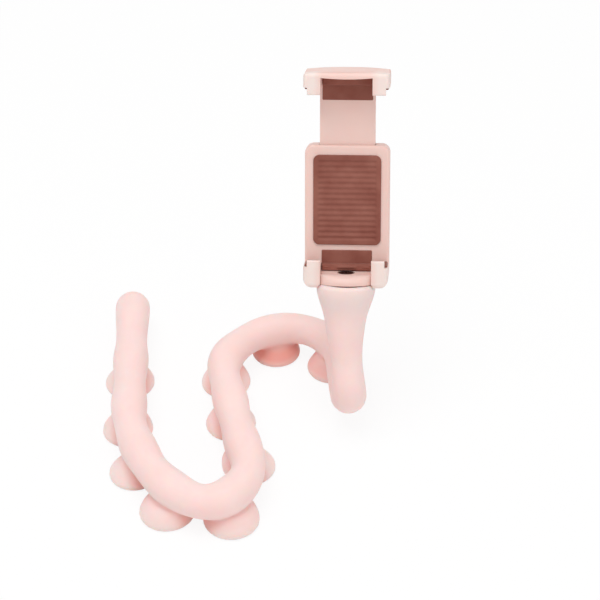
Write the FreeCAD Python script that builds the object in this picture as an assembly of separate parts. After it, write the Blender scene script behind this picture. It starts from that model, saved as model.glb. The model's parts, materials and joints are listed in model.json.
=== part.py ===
import FreeCAD
import Part
import math
import os

# Bendable worm-shaped phone holder.
# A silicone body with suction cups is posed in an S on a table, rises at one end into a flared neck,
# and carries a sprung clamp that swivels on the neck and grips a phone by its long edges.
# Millimetres, +Z up. The cups stand at Z = 0 and the origin is under the middle of the holder.

V = FreeCAD.Vector
UP = V(0, 0, 1)

# Silicone body, lying along the table
BODY_RADIUS = 8.4
AXIS_HEIGHT = 14.9
BEND_SHARE = 0.45
ROUTE = [
    (-85.8, 24.6),
    (-82.1, -68.5),
    (-65.6, -103.9),
    (-40.5, -122.6),
    (-21.5, -100.2),
    (-30.0, -67.1),
    (-39.7, -15.6),
    (-22.6, 5.2),
    (1.4, 10.4),
    (19.7, -4.9),
    (21.8, -59.7),
]

# Suction cups, moulded on the body's underside
# Each cup has a distance from the tail along the centre line, and a shift aside where the bends twist the body.
CUP_PLACES = [
    (41.5, 0.6),
    (75.0, 0.6),
    (106.5, 2.9),
    (138.0, 3.1),
    (169.5, 1.4),
    (206.5, 2.2),
    (238.5, -0.1),
    (271.0, -0.3),
    (305.0, 0.6),
    (338.5, 1.6),
]
CUP_RADIUS = 12.2
CUP_NECK_RADIUS = 7.0
CUP_NECK_TAPER = 0.9
CUP_NECK_HEIGHT = 9.0
CUP_EDGE_HEIGHT = 1.1
CUP_EDGE_ROUND = 0.5
CUP_RIM_FLAT = 1.4
CUP_HOLLOW = 3.4
CUP_DOME_BULGE = 1.3

# Neck, rising from the elbow to the clamp
NECK_LEAN = 25.0
NECK_LENGTH = 67.0
NECK_WAIST_RADIUS = 7.5
NECK_WAIST_DROP = 38.0
NECK_SHOULDER_RADIUS = 9.1
NECK_SHOULDER_DROP = 18.5
FLARE_RADIUS = 14.0
FLARE_BAND = 4.6
FLARE_THROAT_SHARE = 0.38
FLARE_EDGE_ROUND = 1.8

# Bendable wire and the rigid plug inside the silicone
CORE_RADIUS = 2.5
CORE_ROOM = 0.2
PLUG_RADIUS = 10.0
PLUG_BAND = 6.0
PLUG_SHANK_RADIUS = 6.4
PLUG_CONE_DROP = 13.0
PLUG_TIP_RADIUS = 5.2
PLUG_LENGTH = 30.0
PLUG_WIRE_BORE = 10.5
PLUG_ROOM = 0.15

# Swivel between the neck and the clamp
SWIVEL_GAP = 0.3
SPIGOT_RADIUS = 6.0
SPIGOT_LENGTH = 4.0
SPIGOT_PLAY = 0.06
SCREW_RADIUS = 1.5
SCREW_DEPTH = 16.0
SCREW_HEAD_RADIUS = 3.5
SCREW_HEAD_HEIGHT = 1.7
SCREW_DRIVE_WIDTH = 0.9
SCREW_DRIVE_DEPTH = 0.8
SCREW_DRIVE_SHARE = 0.6
WASHER_RADIUS = 3.9
WASHER_THICKNESS = 0.6
SEAT_PLAY = 0.05

# Clamp, in its own frame: X across, -Y to the front, Z along the neck's axis from the flare's rim
CLAMP_TURN = 4.0
JAW_WIDTH = 40.0
JAW_FRONT = -7.5
JAW_PLAN_CORNER = 2.2
LIP_THICKNESS = 2.0
LIP_HEIGHT = 2.4
LIP_INSET = 1.8
PHONE_ROOM = 10.0
RECESS_WIDTH = 24.0
RECESS_DEPTH = 4.7
UPPER_RECESS_DEPTH = 5.6
RECESS_ARCH = 0.6
RIB_WIDTH = 9.0
RIB_HEIGHT = 1.0
RIB_LIFT = 1.2
RIB_PROUD = 0.8
LOWER_JAW_HEIGHT = 9.2
PRONG_DROP = 1.8
PRONG_ROOM = 0.5
COLLAR_BULGE = 4.0
COLLAR_LIFT = 0.1
UPPER_JAW_CROWN = 1.2
UPPER_JAW_HEIGHT = 8.4
PAD_THICKNESS = 1.0
PAD_MARGIN = 0.5
JAW_OPEN = 82.6
JAW_CLOSED = 56.0
JAW_WIDEST = 88.0
LOWER_CORNER = 5.0
UPPER_CORNER = 2.6
NOSE_ROUND = 2.6
LIP_ROUND = 0.8

# Sliding tongue and the housing that guides it
SHELL_WALL = 1.5
TONGUE_WIDTH = 26.0
TONGUE_THICKNESS = 5.4
FOOT_WIDTH = 30.0
FOOT_HEIGHT = 9.0
SLIDE_PLAY = 0.3
HOUSING_SHORT = 1.0
MOUTH_WALL = 3.0
CAVITY_FLOOR = 14.0
COVER_THICKNESS = 1.8
COVER_EDGE_ROUND = 0.9
HOUSING_CORNER = 4.0
HOUSING_EDGE_ROUND = 1.2
BACK_PAD_WIDTH = 32.0
BACK_PAD_BOTTOM = 17.0
BACK_PAD_TOP = 60.0
BACK_PAD_CORNER = 3.0

# Spring that pulls the jaws together
CHANNEL_WIDTH = 5.6
CHANNEL_SKIN = 1.2
POST_RADIUS = 1.0
POST_LIFT = 3.5
POST_DROP = 4.5
SPRING_RADIUS = 1.6
SPRING_WIRE = 0.3
SPRING_TURNS = 20
SPRING_SIDES = 6
HOOK_RADIUS = 1.45

# Screws of the rear cover
COVER_SCREW_RADIUS = 0.9
COVER_SCREW_LENGTH = 6.0
COVER_HEAD_RADIUS = 1.8
COVER_HEAD_HEIGHT = 1.0
COVER_SCREW_INSET = 2.5
COVER_SCREW_LOW = 8.0
COVER_SCREW_HIGH = 6.5
COVER_SCREW_PLAY = 0.1

# How far a cutting block runs past the face that it cuts
OVERCUT = 1.0

# Levels and faces that several pieces share
LOWER_SEAT = SWIVEL_GAP + LOWER_JAW_HEIGHT
PRONG_FOOT = SWIVEL_GAP - PRONG_DROP
LOWER_FLOOR = LOWER_SEAT - RECESS_DEPTH
LOWER_SHELF = LOWER_SEAT - PAD_THICKNESS
UPPER_SEAT = LOWER_SEAT + JAW_OPEN
UPPER_SHELF = UPPER_SEAT + PAD_THICKNESS
JAW_TOP = UPPER_SEAT + UPPER_JAW_HEIGHT
LIP_BACK = JAW_FRONT + LIP_THICKNESS
HOUSING_FRONT = LIP_BACK + PHONE_ROOM + PAD_THICKNESS
CAVITY_FRONT = HOUSING_FRONT + SHELL_WALL
TONGUE_FRONT = CAVITY_FRONT + SLIDE_PLAY
TONGUE_BACK = TONGUE_FRONT + TONGUE_THICKNESS
COVER_FRONT = TONGUE_BACK + SLIDE_PLAY
CLAMP_BACK = COVER_FRONT + COVER_THICKNESS
HOUSING_TOP = LOWER_SEAT + JAW_CLOSED - HOUSING_SHORT
MOUTH_UNDERSIDE = HOUSING_TOP - MOUTH_WALL
TONGUE_FOOT_TOP = MOUTH_UNDERSIDE - SLIDE_PLAY - (JAW_WIDEST - JAW_OPEN)
TONGUE_BOTTOM = TONGUE_FOOT_TOP - FOOT_HEIGHT
CHANNEL_FRONT = TONGUE_FRONT + CHANNEL_SKIN
SPRING_Y = (CHANNEL_FRONT + COVER_FRONT) / 2
LOWER_POST = CAVITY_FLOOR + POST_LIFT
UPPER_POST = UPPER_SEAT - POST_DROP
WASHER_SEAT = LOWER_FLOOR - SCREW_HEAD_HEIGHT - WASHER_THICKNESS - 2 * SEAT_PLAY


def corner_arc(before, corner, after):
    """Tangent arc that rounds one corner of a route: its start, middle and end points and its radius."""
    to_before = before - corner
    to_after = after - corner
    reach = BEND_SHARE * min(to_before.Length, to_after.Length)
    to_before.normalize()
    to_after.normalize()
    half = to_before.getAngle(to_after) / 2
    radius = reach * math.tan(half)
    inward = to_before + to_after
    inward.normalize()
    middle = corner + inward * (radius / math.sin(half) - radius)
    return corner + to_before * reach, middle, corner + to_after * reach, radius


def centre_line():
    """Edges of the lying body and its elbow: straight runs joined by tangent arcs, tail first."""
    corners = [V(x, y, AXIS_HEIGHT) for x, y in ROUTE]
    corners.append(corners[-1] + NECK_AXIS * NECK_LENGTH)
    edges = []
    at = corners[0]
    for before, corner, after in zip(corners, corners[1:], corners[2:]):
        start, middle, end, radius = corner_arc(before, corner, after)
        edges.append(Part.LineSegment(at, start).toShape())
        edges.append(Part.Arc(start, middle, end).toShape())
        at = end
        print("bend radius", round(radius, 1))
    return edges, at, corners[-1]


def along(edges, distance):
    """Point and heading at a distance along a chain of edges."""
    for edge in edges:
        if distance <= edge.Length:
            parameter = edge.getParameterByLength(distance)
            return edge.valueAt(parameter), edge.tangentAt(parameter)
        distance -= edge.Length
    return edges[-1].valueAt(edges[-1].LastParameter), edges[-1].tangentAt(edges[-1].LastParameter)


def tube(edges, radius):
    """Round bar swept along a chain of tangent edges."""
    start, heading = along(edges, 0)
    section = Part.Wire(Part.makeCircle(radius, start, heading))
    return Part.Wire(edges).makePipeShell([section], True, False)


def revolved(segments):
    """Solid of revolution about Z from a closed half section in the X-Z plane."""
    face = Part.Face(Part.Wire(segments))
    return face.revolve(V(0, 0, 0), UP, 360)


def line(start, end):
    return Part.LineSegment(V(start[0], 0, start[1]), V(end[0], 0, end[1])).toShape()


def arc(start, middle, end):
    return Part.Arc(*[V(r, 0, z) for r, z in (start, middle, end)]).toShape()


def polyline(points):
    return [line(a, b) for a, b in zip(points, points[1:])]


def outline(corners, plane, low, high):
    """Prism between two levels of the third axis, from corners (first, second, radius) in "XZ", "YZ" or "XY"."""
    def at(first, second, level=low):
        return {"XZ": V(first, level, second), "YZ": V(level, first, second), "XY": V(first, second, level)}[plane]

    edges = []
    count = len(corners)
    ends = []
    for i, (first, second, radius) in enumerate(corners):
        here = at(first, second)
        to_before = at(*corners[i - 1][:2]) - here
        to_after = at(*corners[(i + 1) % count][:2]) - here
        to_before.normalize()
        to_after.normalize()
        half = to_before.getAngle(to_after) / 2
        reach = radius / math.tan(half)
        inward = to_before + to_after
        inward.normalize()
        middle = here + inward * (radius / math.sin(half) - radius)
        ends.append((here + to_before * reach, middle, here + to_after * reach, radius))
    for (_, _, leave, _), (reach_next, middle, depart, radius) in zip(ends, ends[1:] + ends[:1]):
        edges.append(Part.LineSegment(leave, reach_next).toShape())
        if radius > 0:
            edges.append(Part.Arc(reach_next, middle, depart).toShape())
    return Part.Face(Part.Wire(edges)).extrude(at(0, 0, high) - at(0, 0, low))


def block(x, y, z):
    """Box from three (low, high) pairs."""
    size = [high - low for low, high in (x, y, z)]
    return Part.makeBox(*size, V(x[0], y[0], z[0]))


def rod(radius, bottom, top, x=0.0, y=0.0):
    return Part.makeCylinder(radius, top - bottom, V(x, y, bottom), UP)


def rod_along_y(radius, front, back, x, z):
    return Part.makeCylinder(radius, back - front, V(x, front, z), V(0, 1, 0))


NECK_AXIS = V(0, math.sin(math.radians(NECK_LEAN)), math.cos(math.radians(NECK_LEAN)))
CENTRE_LINE, ELBOW_END, RIM_CENTRE = centre_line()
STEM_DROP = (RIM_CENTRE - ELBOW_END).Length
NECK_PLACE = FreeCAD.Placement(RIM_CENTRE, FreeCAD.Rotation(V(1, 0, 0), -NECK_LEAN))


def on_neck(shape):
    """A shape about the neck's axis, set on the leaning neck."""
    placed = shape.copy()
    placed.transformShape(NECK_PLACE.toMatrix(), True)
    return placed


def on_swivel(shape):
    """A shape from the clamp's own frame, turned on the neck as the clamp is."""
    turned = shape.copy()
    turned.rotate(V(0, 0, 0), UP, -CLAMP_TURN)
    return on_neck(turned)


def suction_cup():
    """Cup about Z, rim down at Z = 0: dome outside, shallow hollow underneath, flat where the neck begins."""
    edge_top = (CUP_RADIUS, CUP_EDGE_HEIGHT)
    edge_foot = (CUP_RADIUS - CUP_EDGE_ROUND, 0.0)
    neck_foot = (CUP_NECK_RADIUS, CUP_NECK_HEIGHT)
    lip = (CUP_RADIUS - CUP_RIM_FLAT, 0.0)
    span = math.hypot(neck_foot[0] - edge_top[0], neck_foot[1] - edge_top[1])
    across = ((neck_foot[1] - edge_top[1]) / span, (edge_top[0] - neck_foot[0]) / span)
    dome = (
        (edge_top[0] + neck_foot[0]) / 2 + across[0] * CUP_DOME_BULGE,
        (edge_top[1] + neck_foot[1]) / 2 + across[1] * CUP_DOME_BULGE,
    )
    hollow_radius = (lip[0] ** 2 + CUP_HOLLOW ** 2) / (2 * CUP_HOLLOW)
    half_way = lip[0] / 2
    hollow_drop = hollow_radius - math.sqrt(hollow_radius ** 2 - half_way ** 2)
    segments = [
        arc((0, CUP_HOLLOW), (half_way, CUP_HOLLOW - hollow_drop), lip),
        line(lip, edge_foot),
        line(edge_foot, edge_top),
        arc(edge_top, dome, neck_foot),
    ]
    segments += polyline([neck_foot, (0, CUP_NECK_HEIGHT), (0, CUP_HOLLOW)])
    return revolved(segments)


def cup_foot(distance, aside):
    """Middle of a cup's rim on the table, beside the point at a distance along the centre line."""
    on_axis, heading = along(CENTRE_LINE, distance)
    sideways = heading.cross(UP)
    sideways.normalize()
    return V(on_axis.x, on_axis.y, 0) + sideways * aside


def cup_on_body(cup, distance, aside):
    """One cup set under the body, and the neck that leans from it to the body's centre line."""
    on_axis, _ = along(CENTRE_LINE, distance)
    foot = cup_foot(distance, aside)
    placed = cup.copy()
    placed.translate(foot)
    low = Part.Wire(Part.makeCircle(CUP_NECK_RADIUS, foot + UP * CUP_NECK_HEIGHT, UP))
    high = Part.Wire(Part.makeCircle(CUP_NECK_RADIUS * CUP_NECK_TAPER, on_axis, UP))
    return [placed, Part.makeLoft([low, high], True)]


def neck_and_flare():
    """Stem above the elbow, from the body's radius through a waist to the flare that carries the clamp."""
    foot = (BODY_RADIUS, -STEM_DROP)
    band_foot = (FLARE_RADIUS - FLARE_EDGE_ROUND / 2, -FLARE_BAND)
    side = Part.BSplineCurve()
    drop_to_shoulder = (NECK_SHOULDER_DROP + FLARE_BAND) / 2
    throat_radius = NECK_SHOULDER_RADIUS + FLARE_THROAT_SHARE * (FLARE_RADIUS - NECK_SHOULDER_RADIUS)
    through = [
        foot,
        (NECK_WAIST_RADIUS, -NECK_WAIST_DROP),
        (NECK_SHOULDER_RADIUS, -NECK_SHOULDER_DROP),
        (throat_radius, -drop_to_shoulder),
        band_foot,
    ]
    side.interpolate([V(r, 0, z) for r, z in through])
    band_top = (FLARE_RADIUS, -FLARE_EDGE_ROUND)
    rim = (FLARE_RADIUS - FLARE_EDGE_ROUND, 0.0)
    round_middle = FLARE_EDGE_ROUND * (1 - math.sqrt(0.5))
    segments = [line((0, 0), (0, -STEM_DROP)), line((0, -STEM_DROP), foot), side.toShape()]
    segments += [line(band_foot, band_top)]
    segments += [arc(band_top, (FLARE_RADIUS - round_middle, -round_middle), rim), line(rim, (0, 0))]
    return on_neck(revolved(segments))


def plug_section(room):
    """Outside of the rigid plug as a solid about Z, grown by some room on every side."""
    corners = [
        (0, -SWIVEL_GAP + room),
        (PLUG_RADIUS + room, -SWIVEL_GAP + room),
        (PLUG_RADIUS + room, -PLUG_BAND - room),
        (PLUG_SHANK_RADIUS + room, -PLUG_CONE_DROP - room),
        (PLUG_TIP_RADIUS + room, -PLUG_LENGTH - room),
        (0, -PLUG_LENGTH - room),
    ]
    return revolved(polyline(corners + corners[:1]))


def core_edges():
    """Centre line of the wire: the body's own, carried up the stem into the plug."""
    wire_top = RIM_CENTRE - NECK_AXIS * (PLUG_LENGTH - PLUG_WIRE_BORE + CORE_ROOM)
    return CENTRE_LINE + [Part.LineSegment(ELBOW_END, wire_top).toShape()]


def worm_body():
    """Silicone sleeve: lying tube, round tail, cups and flared neck in one moulding, hollow for wire and plug."""
    tail, heading = along(CENTRE_LINE, 0)
    half_ball = Part.makeSphere(BODY_RADIUS, tail, heading, -90, 0, 360)
    cup = suction_cup()
    pieces = [half_ball, neck_and_flare()]
    for distance, aside in CUP_PLACES:
        pieces += cup_on_body(cup, distance, aside)
    solid = tube(CENTRE_LINE, BODY_RADIUS).fuse(pieces).removeSplitter()
    socket = plug_section(PLUG_ROOM).fuse(rod(PLUG_RADIUS + PLUG_ROOM, -PLUG_BAND, SWIVEL_GAP))
    return solid.cut([tube(core_edges(), CORE_RADIUS + CORE_ROOM), on_neck(socket)])


def bend_core():
    return tube(core_edges(), CORE_RADIUS)


def neck_plug():
    """Rigid insert in the flare: socket for the clamp's spigot, pilot for the screw, bore for the wire."""
    socket = rod(SPIGOT_RADIUS + SPIGOT_PLAY, -SPIGOT_LENGTH - SWIVEL_GAP, 0)
    pilot = rod(SCREW_RADIUS + SEAT_PLAY, -SCREW_DEPTH - SWIVEL_GAP, 0)
    wire_bore = rod(CORE_RADIUS + CORE_ROOM, -PLUG_LENGTH, -PLUG_LENGTH + PLUG_WIRE_BORE)
    return on_neck(plug_section(0).cut([socket, pilot, wire_bore]))


def cross_drive(top):
    """Cross-shaped recess for a screwdriver, cut down from a screw head's top."""
    reach = SCREW_DRIVE_SHARE * SCREW_HEAD_RADIUS
    half = SCREW_DRIVE_WIDTH / 2
    depth = (top - SCREW_DRIVE_DEPTH, top)
    return block((-reach, reach), (-half, half), depth).fuse(block((-half, half), (-reach, reach), depth))


def pivot_screw():
    head_foot = WASHER_SEAT + SEAT_PLAY + WASHER_THICKNESS
    head_top = head_foot + SCREW_HEAD_HEIGHT
    shank = rod(SCREW_RADIUS, -SCREW_DEPTH, head_foot)
    head = rod(SCREW_HEAD_RADIUS, head_foot, head_top)
    return on_neck(shank.fuse(head).removeSplitter().cut(cross_drive(head_top)))


def pivot_washer():
    bottom = WASHER_SEAT + SEAT_PLAY
    ring = rod(WASHER_RADIUS, bottom, bottom + WASHER_THICKNESS)
    return on_neck(ring.cut(rod(SCREW_RADIUS + SEAT_PLAY, bottom, bottom + WASHER_THICKNESS)))


def housing_front_outline(front, back):
    """Clamp housing seen from the front: round lower corners of the jaw, round upper corners of the housing."""
    half = JAW_WIDTH / 2
    corners = [
        (-half, PRONG_FOOT, LOWER_CORNER),
        (half, PRONG_FOOT, LOWER_CORNER),
        (half, HOUSING_TOP, HOUSING_CORNER),
        (-half, HOUSING_TOP, HOUSING_CORNER),
    ]
    return outline(corners, "XZ", front, back)


def lip_notches(low, high):
    """Space outside the lips of a jaw, cut so that they stand in from its sides."""
    half = JAW_WIDTH / 2
    front = (JAW_FRONT - OVERCUT, LIP_BACK)
    return [block((s - LIP_INSET, s + LIP_INSET), front, (low, high)) for s in (-half, half)]


def jaw_plan(back, back_corner, low, high):
    """A jaw seen from above: round front corners, and round or square back ones."""
    half = JAW_WIDTH / 2
    corners = [
        (-half, JAW_FRONT, JAW_PLAN_CORNER),
        (half, JAW_FRONT, JAW_PLAN_CORNER),
        (half, back, back_corner),
        (-half, back, back_corner),
    ]
    return outline(corners, "XY", low, high)


def arched_recess(low, high):
    """Cut for the upper jaw's recess, open below, its top edge sagging in a shallow arc."""
    half = RECESS_WIDTH / 2
    front = JAW_FRONT - OVERCUT
    corners = [V(x, front, z) for x, z in ((half, high), (half, low), (-half, low), (-half, high))]
    top = Part.Arc(corners[3], V(0, front, high - RECESS_ARCH), corners[0]).toShape()
    sides = [Part.LineSegment(a, b).toShape() for a, b in zip(corners, corners[1:])]
    return Part.Face(Part.Wire(sides + [top])).extrude(V(0, HOUSING_FRONT - front, 0))


def swivel_collar():
    """Front of the lower jaw between its prongs, swelling forward towards its foot to follow the round flare."""
    half = RECESS_WIDTH / 2
    foot = SWIVEL_GAP + COLLAR_LIFT
    ends = [V(-half, LIP_BACK, foot), V(half, LIP_BACK, foot)]
    bow = Part.Arc(ends[0], V(0, LIP_BACK - COLLAR_BULGE, foot), ends[1]).toShape()
    plan = Part.Face(Part.Wire([bow, Part.LineSegment(ends[1], ends[0]).toShape()]))
    slope = [
        (LIP_BACK - COLLAR_BULGE, foot, 0),
        (LIP_BACK, foot, 0),
        (LIP_BACK, LOWER_FLOOR, 0),
        (LIP_BACK - COLLAR_BULGE / 2, LOWER_FLOOR - RECESS_DEPTH / 4, COLLAR_BULGE),
    ]
    return plan.extrude(V(0, 0, LOWER_FLOOR - foot)).common(outline(slope, "YZ", -half, half))


def cover_screw_places():
    """Screw centres across the rear cover."""
    x = JAW_WIDTH / 2 - COVER_SCREW_INSET
    heights = (SWIVEL_GAP + COVER_SCREW_LOW, HOUSING_TOP - COVER_SCREW_HIGH)
    return [(side * x, z) for side in (-1, 1) for z in heights]


def rounded_housing_edge(solid):
    """The housing's front face with its side and top edges rounded over."""
    def on_front_edge(edge):
        box = edge.BoundBox
        on_face = abs(box.YMin - HOUSING_FRONT) < SEAT_PLAY and abs(box.YMax - HOUSING_FRONT) < SEAT_PLAY
        return on_face and box.ZMax > LOWER_SHELF + SEAT_PLAY

    return solid.makeFillet(HOUSING_EDGE_ROUND, [e for e in solid.Edges if on_front_edge(e)])


def lower_jaw():
    """Fixed jaw and housing front in one moulding: two prongs, screw seat, spigot, guide cavity, spring post."""
    half = JAW_WIDTH / 2
    lip_top = LOWER_SEAT + LIP_HEIGHT
    side = [
        (JAW_FRONT, PRONG_FOOT, NOSE_ROUND),
        (JAW_FRONT, lip_top, LIP_ROUND),
        (LIP_BACK, lip_top, LIP_ROUND),
        (LIP_BACK, LOWER_SHELF, 0),
        (HOUSING_FRONT, LOWER_SHELF, 0),
        (HOUSING_FRONT, HOUSING_TOP, 0),
        (COVER_FRONT, HOUSING_TOP, 0),
        (COVER_FRONT, SWIVEL_GAP, 0),
        (HOUSING_FRONT, SWIVEL_GAP, 0),
        (HOUSING_FRONT, PRONG_FOOT, 0),
    ]
    solid = outline(side, "YZ", -half, half).common(housing_front_outline(JAW_FRONT - OVERCUT, COVER_FRONT))
    solid = solid.common(jaw_plan(COVER_FRONT, 0, PRONG_FOOT, HOUSING_TOP))
    solid = rounded_housing_edge(solid)
    recess_half = RECESS_WIDTH / 2
    recess = (-recess_half, recess_half)
    cavity_half = FOOT_WIDTH / 2 + SLIDE_PLAY
    mouth_half = TONGUE_WIDTH / 2 + SLIDE_PLAY
    inside = (CAVITY_FRONT, COVER_FRONT)
    screw_seat = (WASHER_SEAT, LOWER_FLOOR)
    cuts = [
        block(recess, (JAW_FRONT - OVERCUT, LIP_BACK), (PRONG_FOOT - OVERCUT, lip_top + OVERCUT)),
        rod(FLARE_RADIUS + PRONG_ROOM, PRONG_FOOT - OVERCUT, SWIVEL_GAP),
        block(recess, (LIP_BACK, HOUSING_FRONT), (LOWER_FLOOR, lip_top + OVERCUT)),
        block((-cavity_half, cavity_half), inside, (CAVITY_FLOOR, MOUTH_UNDERSIDE)),
        block((-mouth_half, mouth_half), inside, (MOUTH_UNDERSIDE, HOUSING_TOP)),
        rod(WASHER_RADIUS + SLIDE_PLAY, *screw_seat),
    ]
    cuts += lip_notches(LOWER_SHELF, lip_top + OVERCUT)
    for x, z in cover_screw_places():
        cuts.append(rod_along_y(COVER_SCREW_RADIUS + SEAT_PLAY, COVER_FRONT - COVER_SCREW_LENGTH, COVER_FRONT, x, z))
    solid = solid.cut(cuts).fuse([rod(SPIGOT_RADIUS, -SPIGOT_LENGTH, SWIVEL_GAP), swivel_collar()])
    solid = solid.cut(rod(SCREW_RADIUS + SPIGOT_PLAY, -SPIGOT_LENGTH, LOWER_FLOOR))
    post = rod_along_y(POST_RADIUS, CAVITY_FRONT, COVER_FRONT - SLIDE_PLAY, 0, LOWER_POST)
    rib_foot = LOWER_FLOOR + RIB_LIFT
    rib_depth = (HOUSING_FRONT - RIB_PROUD, HOUSING_FRONT)
    rib = block((-RIB_WIDTH / 2, RIB_WIDTH / 2), rib_depth, (rib_foot, rib_foot + RIB_HEIGHT))
    return on_swivel(solid.fuse([post, rib]).removeSplitter())


def rear_cover():
    """Plate that closes the housing from behind, with its outer edge rounded and four sunk screw seats."""
    half = JAW_WIDTH / 2
    above_neck = block((-half, half), (COVER_FRONT, CLAMP_BACK), (SWIVEL_GAP, HOUSING_TOP))
    plate = housing_front_outline(COVER_FRONT, CLAMP_BACK).common(above_neck)
    rim = [e for e in plate.Edges if min(v.Y for v in e.Vertexes) > CLAMP_BACK - COVER_EDGE_ROUND / 2]
    plate = plate.makeFillet(COVER_EDGE_ROUND, rim)
    cuts = []
    for x, z in cover_screw_places():
        cuts.append(rod_along_y(COVER_SCREW_RADIUS + COVER_SCREW_PLAY, COVER_FRONT, CLAMP_BACK, x, z))
        seat = CLAMP_BACK - COVER_HEAD_HEIGHT
        cuts.append(rod_along_y(COVER_HEAD_RADIUS + COVER_SCREW_PLAY, seat, CLAMP_BACK, x, z))
    return on_swivel(plate.cut(cuts))


def cover_screws():
    """Four small screws, heads flush with the cover."""
    screws = []
    for x, z in cover_screw_places():
        seat = CLAMP_BACK - COVER_HEAD_HEIGHT
        tip = COVER_FRONT - COVER_SCREW_LENGTH + SLIDE_PLAY
        shank = rod_along_y(COVER_SCREW_RADIUS, tip, seat, x, z)
        head = rod_along_y(COVER_HEAD_RADIUS, seat, CLAMP_BACK, x, z)
        screws.append(shank.fuse(head).removeSplitter())
    return on_swivel(Part.makeCompound(screws))


def jaw_pads(seat, shelf):
    """Two soft pads of a jaw, one on each side of its recess, between seat and shelf levels."""
    low, high = sorted((seat, shelf))
    inner = RECESS_WIDTH / 2 + PAD_MARGIN
    outer = JAW_WIDTH / 2 - PAD_MARGIN
    depth = (LIP_BACK + PAD_MARGIN, HOUSING_FRONT - PAD_MARGIN)
    pads = [block(sorted((side * inner, side * outer)), depth, (low, high)) for side in (-1, 1)]
    return on_swivel(Part.makeCompound(pads))


def back_pad():
    """Thin soft pad on the housing, where the phone's back rests."""
    half = BACK_PAD_WIDTH / 2
    corners = [
        (-half, BACK_PAD_BOTTOM, BACK_PAD_CORNER),
        (half, BACK_PAD_BOTTOM, BACK_PAD_CORNER),
        (half, BACK_PAD_TOP, BACK_PAD_CORNER),
        (-half, BACK_PAD_TOP, BACK_PAD_CORNER),
    ]
    return on_swivel(outline(corners, "XZ", HOUSING_FRONT - PAD_THICKNESS, HOUSING_FRONT))


def tongue():
    """Sliding plate under the upper jaw, with a wider foot that stops at the housing's mouth."""
    half = TONGUE_WIDTH / 2
    foot = FOOT_WIDTH / 2
    corners = [
        (-foot, TONGUE_BOTTOM, 1.0),
        (foot, TONGUE_BOTTOM, 1.0),
        (foot, TONGUE_FOOT_TOP, 0),
        (half, TONGUE_FOOT_TOP, 0),
        (half, UPPER_SHELF + OVERCUT, 0),
        (-half, UPPER_SHELF + OVERCUT, 0),
        (-half, TONGUE_FOOT_TOP, 0),
        (-foot, TONGUE_FOOT_TOP, 0),
    ]
    return outline(corners, "XZ", TONGUE_FRONT, TONGUE_BACK)


def upper_jaw():
    """Sliding jaw: two prongs over the phone's edge, and the tongue with its spring channel behind."""
    half = JAW_WIDTH / 2
    lip_bottom = UPPER_SEAT - LIP_HEIGHT
    side = [
        (JAW_FRONT, JAW_TOP, NOSE_ROUND),
        (JAW_FRONT, lip_bottom, LIP_ROUND),
        (LIP_BACK, lip_bottom, LIP_ROUND),
        (LIP_BACK, UPPER_SHELF, 0),
        (CLAMP_BACK, UPPER_SHELF, 0),
        (CLAMP_BACK, JAW_TOP, NOSE_ROUND),
    ]
    face = [
        (-half, lip_bottom - OVERCUT, 0),
        (half, lip_bottom - OVERCUT, 0),
        (half, JAW_TOP, UPPER_CORNER),
        (-half, JAW_TOP, UPPER_CORNER),
    ]
    solid = outline(side, "YZ", -half, half)
    solid = solid.common(outline(face, "XZ", JAW_FRONT - OVERCUT, CLAMP_BACK + OVERCUT))
    solid = solid.common(jaw_plan(CLAMP_BACK, JAW_PLAN_CORNER, lip_bottom, JAW_TOP))
    crown_radius = (half ** 2 + UPPER_JAW_CROWN ** 2) / (2 * UPPER_JAW_CROWN)
    crown = rod_along_y(crown_radius, JAW_FRONT - OVERCUT, CLAMP_BACK + OVERCUT, 0, JAW_TOP - crown_radius)
    solid = solid.common(crown)
    cuts = [arched_recess(lip_bottom - OVERCUT, UPPER_SEAT + UPPER_RECESS_DEPTH)]
    cuts += lip_notches(lip_bottom - OVERCUT, UPPER_SHELF)
    channel_half = CHANNEL_WIDTH / 2
    channel_top = UPPER_POST + HOOK_RADIUS + 3 * SPRING_WIRE
    channel = block((-channel_half, channel_half), (CHANNEL_FRONT, TONGUE_BACK), (TONGUE_BOTTOM, channel_top))
    solid = solid.cut(cuts).fuse(tongue()).cut(channel)
    post = rod_along_y(POST_RADIUS, CHANNEL_FRONT, TONGUE_BACK, 0, UPPER_POST)
    return on_swivel(solid.fuse(post).removeSplitter())


def clamp_spring():
    """Extension spring between the housing's post and the tongue's post: coil, two hooks, two links."""
    hooks = []
    coil_low = LOWER_POST + HOOK_RADIUS + 2 * SPRING_WIRE
    coil_high = UPPER_POST - HOOK_RADIUS - 2 * SPRING_WIRE
    for post, end, top in ((LOWER_POST, coil_low, 1), (UPPER_POST, coil_high, -1)):
        hooks.append(Part.makeTorus(HOOK_RADIUS, SPRING_WIRE, V(0, SPRING_Y, post), V(0, 1, 0)))
        start = V(0, SPRING_Y, post + top * HOOK_RADIUS)
        reach = V(SPRING_RADIUS, SPRING_Y, end) - start
        hooks.append(Part.makeCylinder(SPRING_WIRE, reach.Length, start, reach))
    height = coil_high - coil_low
    helix = Part.makeHelix(height / SPRING_TURNS, height, SPRING_RADIUS)
    turns = [2 * math.pi * k / SPRING_SIDES for k in range(SPRING_SIDES + 1)]
    corners = [V(SPRING_RADIUS + SPRING_WIRE * math.cos(a), 0, SPRING_WIRE * math.sin(a)) for a in turns]
    coil = Part.Wire(helix).makePipeShell([Part.makePolygon(corners)], True, True)
    coil.translate(V(0, SPRING_Y, coil_low))
    return on_swivel(coil.fuse(hooks).removeSplitter())


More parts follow.
